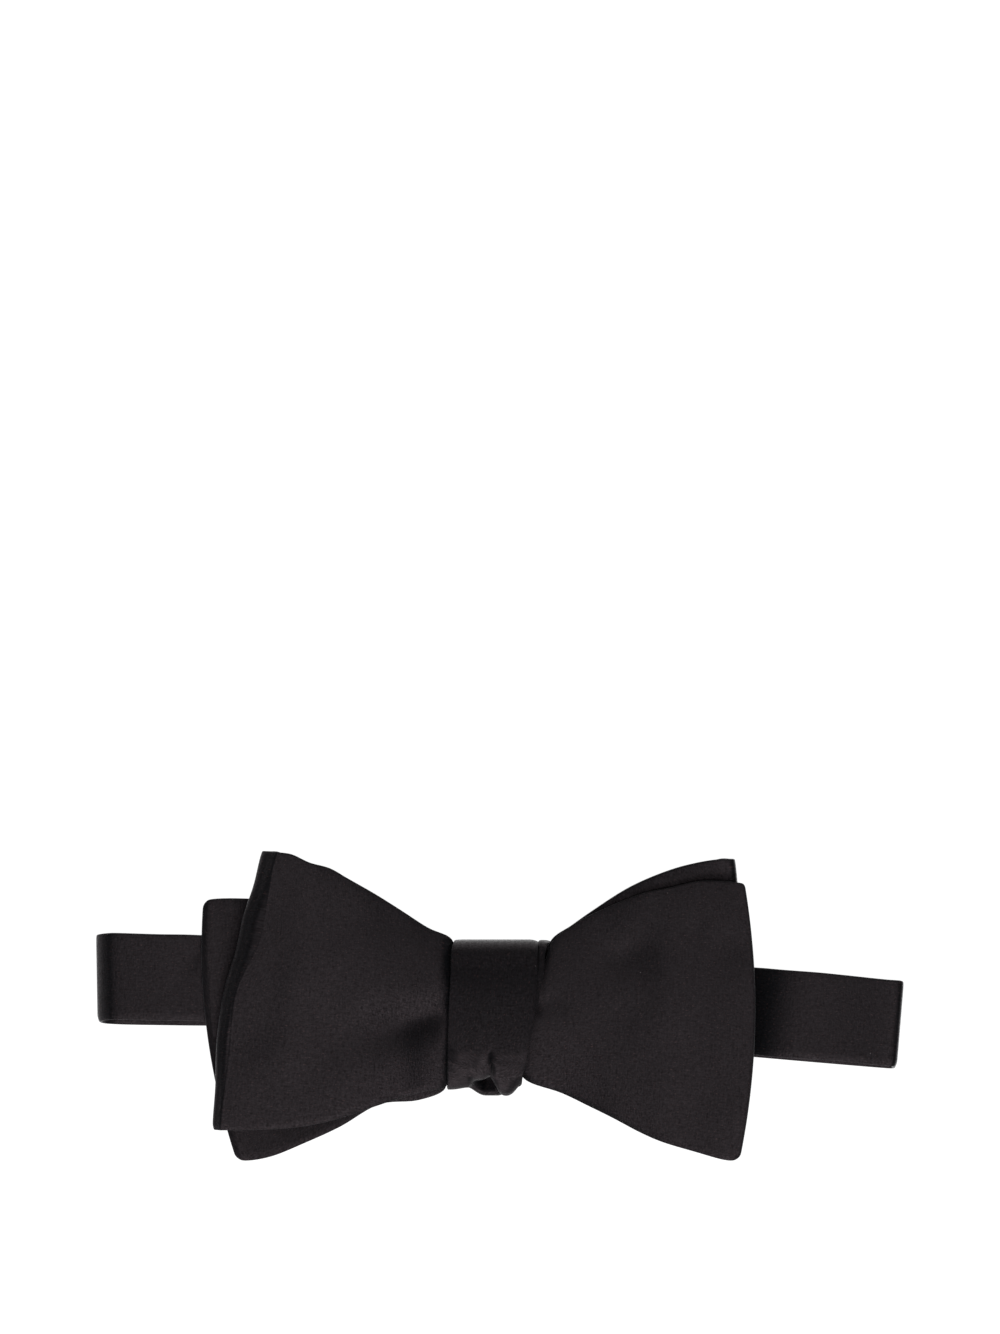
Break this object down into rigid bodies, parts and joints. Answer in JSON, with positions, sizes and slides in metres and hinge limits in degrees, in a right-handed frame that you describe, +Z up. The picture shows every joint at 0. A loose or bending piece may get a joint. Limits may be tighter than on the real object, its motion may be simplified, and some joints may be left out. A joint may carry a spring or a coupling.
{
  "type": "self-tie bow tie",
  "caption": "Tied silk bow tie lying on its back: two crossed folded blades through a wrapped knot, and a neck band laid flat as a closed loop.",
  "frame": {"origin": "on the surface that the bow tie lies on, below the middle of its outline", "axes": "+X to the right of the bow as seen from its front, +Y towards the bow's top edge, +Z up out of its front"},
  "size_m": [0.2017, 0.0776, 0.0216],
  "materials": {
    "blade_silk": "matt black silk with a fine slubby grain and a soft sheen",
    "wrap_silk": "black silk pulled smooth round the knot, with a soft sheen",
    "band_silk": "matt black silk with a fine grain, pressed flat"
  },
  "bodies": {
    "root": {"front_blade": "blade_silk", "rear_blade": "blade_silk", "knot_wrap": "wrap_silk", "neck_band": "band_silk"}
  },
  "joints": []
}
